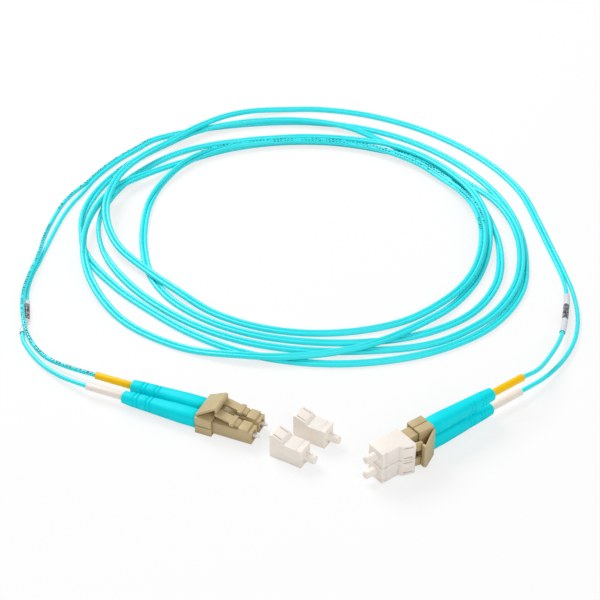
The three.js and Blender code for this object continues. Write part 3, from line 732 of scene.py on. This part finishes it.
# %% A shallower step in a cap's roof
CAP_STEP_X = (-0.5 * MM, 0.7 * MM)
CAP_STEP_FLOOR = (3.42 * MM, 3.6 * MM)
CAP_STEP_OUTSIDE_Y = 2.7 * MM
CAP_STEP_RAISED = 3.7 * MM


def shallow_step(tag):
    to_cap = CAP_FRAME[tag].inverted()

    def move(corner):
        local = to_cap @ corner
        in_step = CAP_STEP_X[0] < local.x < CAP_STEP_X[1]
        on_floor = CAP_STEP_FLOOR[0] < local.z < CAP_STEP_FLOOR[1]
        if in_step and on_floor and abs(local.y) > CAP_STEP_OUTSIDE_Y:
            local.z = CAP_STEP_RAISED
        return CAP_FRAME[tag] @ local

    return move


# %% Soften the caps, boots and sleeves
MARKER_LOOK = {"1": (YELLOW, "yellow_sleeve"), "2": (SLEEVE_WHITE, "white_sleeve")}
for tag in ("a1", "a2", "b1", "b2"):
    softened(f"dust_cap_{tag}", f"cap_{tag}", 0.2 * MM, CAP_WHITE, segments=3,
             reshape=shallow_step(tag))
    softened(f"boot_{tag}", f"strain_boot_{tag}", 0.25 * MM, BOOT_AQUA, sharper_than=50)
    marker_finish, marker_slot = MARKER_LOOK[tag[1]]
    softened(f"marker_sleeve_{tag}", f"marker_{tag}", 0.06 * MM, marker_finish, sharper_than=50)
    softened(f"ferrule_{tag}", f"ferrule_tip_{tag}", 0.04 * MM, ZIRCONIA, sharper_than=50)

# %% [markdown]
# ## The panel in a cap's roof
# Under the step the roof of a cap is open, which would show as a dark slit. A thin flat panel
# closes it: a small bevelled plate, made once per cap in the cap's own axes and carried to its
# place. It and the bend beads further down are primitives, and one function finishes both.

# %% Roof panels
PANEL_LOW, PANEL_HIGH = Vector((-0.42, -2.62, 3.56)) * MM, Vector((0.62, 2.62, 3.7)) * MM


def small_moulding(name, place, edge, material):
    """Names the primitive just added, moves it to its place and gives it soft edges."""
    piece = bpy.context.active_object
    piece.name = name
    piece.data.transform(place)
    apply_modifier(piece, "BEVEL", width=edge, segments=2, limit_method="ANGLE", angle_limit=math.radians(60))
    bpy.ops.object.shade_smooth_by_angle(angle=math.radians(40))
    piece.data.materials.append(material)
    return piece


def roof_panel(tag):
    nothing_selected()
    bpy.ops.mesh.primitive_cube_add(size=1)
    size = PANEL_HIGH - PANEL_LOW
    place = Matrix.Translation((PANEL_LOW + PANEL_HIGH) / 2) @ Matrix.Diagonal((*size, 1))
    panel = small_moulding(f"cap_roof_panel_{tag}", CAP_FRAME[tag] @ place, 0.05 * MM, CAP_WHITE)
    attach(panel, BODY_OF[f"dust_cap_{tag}"])
    return panel


print("panels", [roof_panel(tag).name for tag in CAP_FRAME])

# %% [markdown]
# ## Where a latch arm meets its housing
# On the real housing the arm grows out of the wedge at the front in one moulding, through a thin
# bend. The arm here is a piece of its own, so that it can turn. A small round bead at the
# turning line fills the gap between the two, and it stays put while the arm moves.

# %% Bend beads
BEAD_PLACE, BEAD_RADIUS, BEAD_WIDTH = Vector((-4.78 * MM, 0, 2.9 * MM)), 0.36 * MM, 3.1 * MM


def bend_bead(tag):
    nothing_selected()
    bpy.ops.mesh.primitive_cylinder_add(vertices=20, radius=BEAD_RADIUS, depth=BEAD_WIDTH)
    across = Matrix.Rotation(math.pi / 2, 4, "X")
    place = CHANNEL[tag] @ Matrix.Translation(BEAD_PLACE) @ across
    bead = small_moulding(f"latch_bend_{tag}", place, 0.08 * MM, BEIGE)
    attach(bead, ROOT)
    return bead


print("beads", [bend_bead(tag).name for tag in ("a1", "a2", "b1", "b2")])

# %% [markdown]
# ## Inner metal parts
# The flange, spring, rear body and crimp sit inside the mouldings, where only a sliver shows.
# Their shapes are right as they are, so the nodes stay and only get a turned-steel finish: a
# metal whose roughness varies a little over the surface.

# %% Steel finish for the inner parts
def turned_steel():
    material = plastic("turned_steel", "#B9B9BB", "#9FA0A3", 0.32, grain=7000, bump=0.15)
    material.node_tree.nodes["Principled BSDF"].inputs["Metallic"].default_value = 1.0
    return material


STEEL = turned_steel()
BUFFER = plastic("fibre_buffer_plastic", "#36CDD3", "#27B8BF", 0.4)
for node, source in frame["nodes"].items():
    if node.startswith(("ferrule_flange", "spring", "rear_body", "crimp_ring")):
        finish = STEEL
    elif node.startswith("fibre"):
        finish = BUFFER
    else:
        continue
    source.data.materials.clear()
    source.data.materials.append(finish)
print("inner parts finished")

# %% [markdown]
# ## The springs
# Each spring is given a mesh of its own, a copy of the measured one.

# %% Give each spring its own mesh
for tag, place in CHANNEL.items():
    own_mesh(frame["nodes"][f"spring_{tag}"])

# %% [markdown]
# ## Clear sleeves over printed tags
# One strand of each end wears a short clear sleeve with a paper tag under it. The tag holds only a
# plain dark block. The sleeve is a short open tube that follows its strand, given a wall by a
# Solidify modifier. The block is placed by the tube's own UV map, in metres along the sleeve.

# %% Sleeve finish
def tag_finish(name, ink, start, end):
    material = plastic(name, "#E2E2E6", "#CFCFD6", 0.22, grain=2200, bump=0.12, drift=0.5, drift_scale=900)
    nodes, link = material.node_tree.nodes, material.node_tree.links.new
    shader = nodes["Principled BSDF"]
    shader.inputs["Coat Weight"].default_value = 0.35
    uv = nodes.new("ShaderNodeUVMap")
    uv.uv_map = "along_cord"
    axes = nodes.new("ShaderNodeSeparateXYZ")
    block = nodes.new("ShaderNodeMath")
    block.operation = "COMPARE"
    block.inputs[1].default_value = (start + end) / 2
    block.inputs[2].default_value = (end - start) / 2
    speckle = nodes.new("ShaderNodeTexNoise")
    speckle.inputs["Scale"].default_value, speckle.inputs["Detail"].default_value = 1500, 1
    worn = nodes.new("ShaderNodeMapRange")
    worn.inputs["From Min"].default_value, worn.inputs["From Max"].default_value = 0.42, 0.5
    worn.inputs["To Min"].default_value, worn.inputs["To Max"].default_value = 0.55, 1.0
    cover = nodes.new("ShaderNodeMath")
    cover.operation = "MULTIPLY"
    place = nodes.new("ShaderNodeTexCoord")
    mix = nodes.new("ShaderNodeMix")
    mix.data_type = "RGBA"
    mix.inputs["B"].default_value = from_screen(ink)
    link(uv.outputs["UV"], axes.inputs["Vector"])
    link(axes.outputs["Y"], block.inputs[0])
    link(place.outputs["Object"], speckle.inputs["Vector"])
    link(speckle.outputs["Fac"], worn.inputs["Value"])
    link(block.outputs[0], cover.inputs[0])
    link(worn.outputs["Result"], cover.inputs[1])
    link(cover.outputs[0], mix.inputs["Factor"])
    link(shader.inputs["Base Color"].links[0].from_socket, mix.inputs["A"])
    link(mix.outputs["Result"], shader.inputs["Base Color"])
    return material


# %% Sleeves along their strands
SLEEVE_RADIUS, SLEEVE_WALL = 1.0 * MM, 0.16 * MM


def tag_sleeve(side, number, ends, ink, block):
    line = strand_line[number]
    first, last = sorted(int(np.argmin(np.linalg.norm(line - np.array(end), axis=1))) for end in ends)
    path = smooth_through(line[first:last + 1], 0.6 * MM)
    piece, length = tube(f"tag_sleeve_{side}", path, SLEEVE_RADIUS, sides=20, ends=False)
    apply_modifier(piece, "SOLIDIFY", thickness=SLEEVE_WALL, offset=1.0)
    finish = tag_finish(f"tag_sleeve_{side}_clear", ink, block[0] * length, block[1] * length)
    return finish_piece(piece, f"label_sleeve_{side}", finish, angle=50)


tag_sleeve("a", "2", ((-0.1029, 0.0718, 0.0013), (-0.1017, 0.0526, 0.0013)), "#4A3F40", (0.4, 0.88))
tag_sleeve("b", "1", ((0.0969, 0.0765, 0.0013), (0.092, 0.0514, 0.0029)), "#33323E", (0.27, 0.66))

# %% [markdown]
# ## The table and the light
# A white studio table, a large soft light from above and behind on the left, a weaker one from the
# front on the right, and an even dome.
# The table shows white to the camera but still takes the soft shadow under the cord.

# %% Table
def studio_table():
    bpy.ops.mesh.primitive_plane_add(size=4, location=(0, 0.1, 0))
    table = bpy.context.active_object
    table.name = "studio_table"
    material = bpy.data.materials.new("table_white")
    material.use_nodes = True
    nodes, link = material.node_tree.nodes, material.node_tree.links.new
    nodes.clear()
    output = nodes.new("ShaderNodeOutputMaterial")
    matte = nodes.new("ShaderNodeBsdfDiffuse")
    matte.inputs["Color"].default_value = (0.88, 0.88, 0.88, 1)
    white = nodes.new("ShaderNodeEmission")
    white.inputs["Color"].default_value = (1, 1, 1, 1)
    rays = nodes.new("ShaderNodeLightPath")
    seen = nodes.new("ShaderNodeMath")
    seen.operation = "MULTIPLY"
    seen.inputs[1].default_value = 0.74
    mix = nodes.new("ShaderNodeMixShader")
    link(rays.outputs["Is Camera Ray"], seen.inputs[0])
    link(seen.outputs[0], mix.inputs[0])
    link(matte.outputs[0], mix.inputs[1])
    link(white.outputs[0], mix.inputs[2])
    link(mix.outputs[0], output.inputs["Surface"])
    table.data.materials.append(material)
    return table


studio_table()


# %% World and lamps
SOFTBOXES = (("key_softbox", (-0.5, 0.75, 0.9), 10.5), ("front_softbox", (0.45, -0.8, 0.7), 3.5))
SOFTBOX_SIZE = 0.6
LIT_PLACE = Vector((0, 0.05, 0))


def studio_light():
    world = bpy.data.worlds.new("studio_dome")
    bpy.context.scene.world = world
    world.use_nodes = True
    nodes, link = world.node_tree.nodes, world.node_tree.links.new
    dome = nodes["Background"]
    dome.inputs["Color"].default_value = (1, 1, 1, 1)
    dome.inputs["Strength"].default_value = 0.5
    white = nodes.new("ShaderNodeBackground")
    white.inputs["Strength"].default_value = 1.0
    rays = nodes.new("ShaderNodeLightPath")
    mix = nodes.new("ShaderNodeMixShader")
    link(rays.outputs["Is Camera Ray"], mix.inputs[0])
    link(dome.outputs[0], mix.inputs[1])
    link(white.outputs[0], mix.inputs[2])
    link(mix.outputs[0], nodes["World Output"].inputs["Surface"])
    for name, place, watts in SOFTBOXES:
        lamp = bpy.data.lights.new(name, "AREA")
        lamp.energy, lamp.size = watts, SOFTBOX_SIZE
        holder = bpy.data.objects.new(name, lamp)
        holder.location = place
        holder.rotation_mode = "QUATERNION"
        holder.rotation_quaternion = (Vector(place) - LIT_PLACE).to_track_quat("Z", "Y")
        bpy.context.collection.objects.link(holder)


studio_light()
bpy.context.scene.view_settings.view_transform = "Standard"
